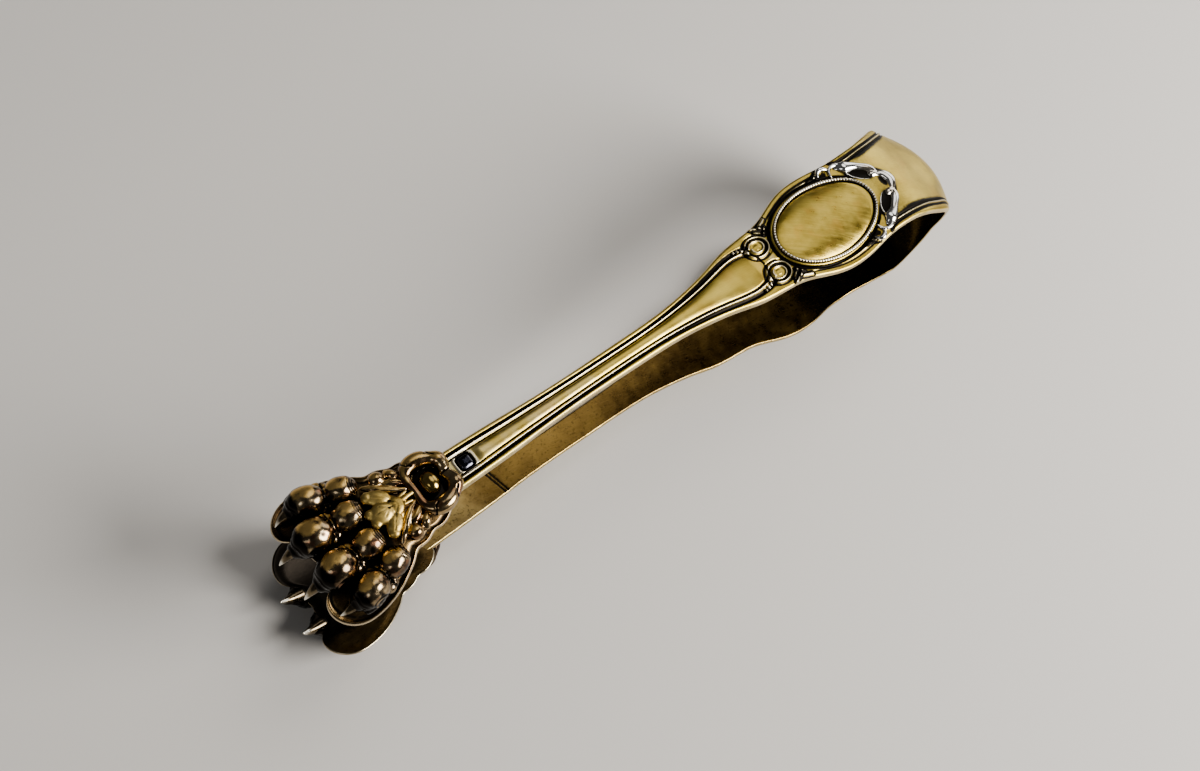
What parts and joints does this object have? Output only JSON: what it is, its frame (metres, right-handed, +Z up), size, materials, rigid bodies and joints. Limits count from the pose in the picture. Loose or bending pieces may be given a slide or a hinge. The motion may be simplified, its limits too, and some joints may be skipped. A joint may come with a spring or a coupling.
{
  "type": "ice tongs",
  "caption": "Ice tongs with a crowned bow spring, two slender arms with an oval cartouche, and paw-shaped grips whose toes end in hooked claws.",
  "frame": {"origin": "under the middle of the tongs, on the surface that they lie on", "axes": "+X along the arms from the bow towards the claws, +Y across the arms, +Z up through both arms"},
  "size_m": [0.1668, 0.0244, 0.0339],
  "materials": {
    "gilt_bow": "brushed worn gilding",
    "gilt_strip": "worn gilding, dark in the grooves",
    "gilt_panel": "brushed convex gilding",
    "gilt_border": "worn edges over dark ground",
    "bright_silver": "polished bare silver",
    "oxidised_stud": "blackened",
    "cast_silver_gilt": "polished casting with dark hollows",
    "cast_bead": "polished gilding",
    "matt_gilt_leaf": "matt light gold",
    "gilt_shell": "brown gold inside, speckled",
    "cast_toe": "polished casting with gold tints and dark hollows",
    "cast_claw": "worn casting"
  },
  "bodies": {
    "lower_arm": {"lower_arm": "gilt_strip", "lower_cartouche": "gilt_panel", "lower_bead_ring": "gilt_border", "lower_crest": "bright_silver", "lower_stud": "oxidised_stud", "lower_collar": "cast_silver_gilt", "lower_collar_bead": "cast_bead", "lower_vine_leaf": "matt_gilt_leaf", "lower_side_leaves": "cast_silver_gilt", "lower_paw_shell": "gilt_shell", "lower_toe_1": "cast_toe", "lower_toe_2": "cast_toe", "lower_toe_3": "cast_toe", "lower_toe_4": "cast_toe", "lower_claws": "cast_claw"},
    "bow": {"bow_spring": "gilt_bow"},
    "upper_arm": {"upper_arm": "gilt_strip", "upper_cartouche": "gilt_panel", "upper_bead_ring": "gilt_border", "upper_crest": "bright_silver", "upper_stud": "oxidised_stud", "upper_collar": "cast_silver_gilt", "upper_collar_bead": "cast_bead", "upper_vine_leaf": "matt_gilt_leaf", "upper_side_leaves": "cast_silver_gilt", "upper_paw_shell": "gilt_shell", "upper_toe_1": "cast_toe", "upper_toe_2": "cast_toe", "upper_toe_3": "cast_toe", "upper_toe_4": "cast_toe", "upper_claws": "cast_claw"}
  },
  "joints": [
    {"name": "lower_flex", "type": "hinge", "parent": "lower_arm", "child": "bow", "pos_m": [-0.07118, 0, 0.00569], "axis": [0, 1, 0], "range_deg": [0, 3.3], "stiffness_Nm_per_rad": 6, "springref_deg": -0.57},
    {"name": "upper_flex", "type": "hinge", "parent": "bow", "child": "upper_arm", "pos_m": [-0.07118, 0, 0.02824], "axis": [0, 1, 0], "range_deg": [0, 3.3], "stiffness_Nm_per_rad": 6, "springref_deg": -0.57}
  ],
  "couplings": [
    {"joint": "upper_flex", "follows": "lower_flex", "ratio": 1}
  ]
}
